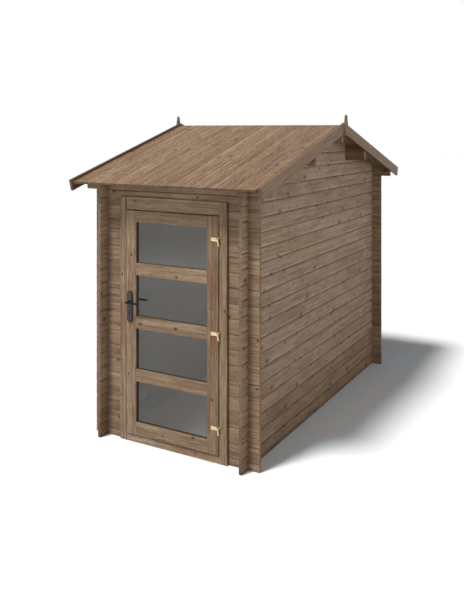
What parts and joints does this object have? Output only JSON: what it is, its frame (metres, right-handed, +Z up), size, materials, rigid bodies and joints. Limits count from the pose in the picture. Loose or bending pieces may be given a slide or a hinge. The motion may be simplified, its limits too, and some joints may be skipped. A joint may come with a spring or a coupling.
{
  "type": "wooden tool shed",
  "caption": "Log-built wooden tool shed with a shallow ridged roof, barge boards and a glazed door hinged on the right of its front wall.",
  "frame": {"origin": "on the ground, at the middle of the plan", "axes": "+Z up, +X to the right seen from the front, +Y from the door side to the back; the ridge runs along X"},
  "size_m": [1.799, 3.22, 2.6143],
  "materials": {
    "wall_wood": "brown impregnated planed pine",
    "roof_wood": "brown impregnated roof boards",
    "trim_wood": "brown impregnated planed pine",
    "door_wood": "brown impregnated planed pine",
    "pane_glass": "clear",
    "hinge_brass": "polished",
    "lock_metal": "dark grey, satin"
  },
  "bodies": {
    "shed": {"front_wall_left": "wall_wood", "front_wall_right": "wall_wood", "front_wall_top": "wall_wood", "front_plate": "wall_wood", "back_wall": "wall_wood", "back_plate": "wall_wood", "left_wall": "wall_wood", "right_wall": "wall_wood", "front_purlin": "wall_wood", "ridge_purlin": "wall_wood", "rear_purlin": "wall_wood", "roof_front": "roof_wood", "roof_rear": "roof_wood", "barge_left_front": "trim_wood", "barge_left_rear": "trim_wood", "barge_right_front": "trim_wood", "barge_right_rear": "trim_wood", "finial_left": "trim_wood", "finial_right": "trim_wood", "door_jamb_left": "door_wood", "door_jamb_right": "door_wood", "door_head": "door_wood", "door_threshold": "door_wood", "hinge_brackets": "hinge_brass"},
    "door": {"door_stile_lock": "door_wood", "door_stile_hinge": "door_wood", "door_rail_top": "door_wood", "door_rails_middle": "door_wood", "door_rail_bottom": "door_wood", "door_glass": "pane_glass", "hinge_plates": "hinge_brass", "lock_plate_outer": "lock_metal", "lock_plate_inner": "lock_metal"},
    "lever": {"lever_handle": "lock_metal"}
  },
  "joints": [
    {"name": "door_hinge", "type": "hinge", "parent": "shed", "child": "door", "pos_m": [0.42875, -1.446, 0.95], "axis": [0, 0, 1], "range_deg": [0, 110]},
    {"name": "lever_turn", "type": "hinge", "parent": "door", "child": "lever", "pos_m": [-0.385, -1.4195, 1.1165], "axis": [0, 1, 0], "range_deg": [0, 40], "stiffness_Nm_per_rad": 1, "springref_deg": -28.65}
  ]
}
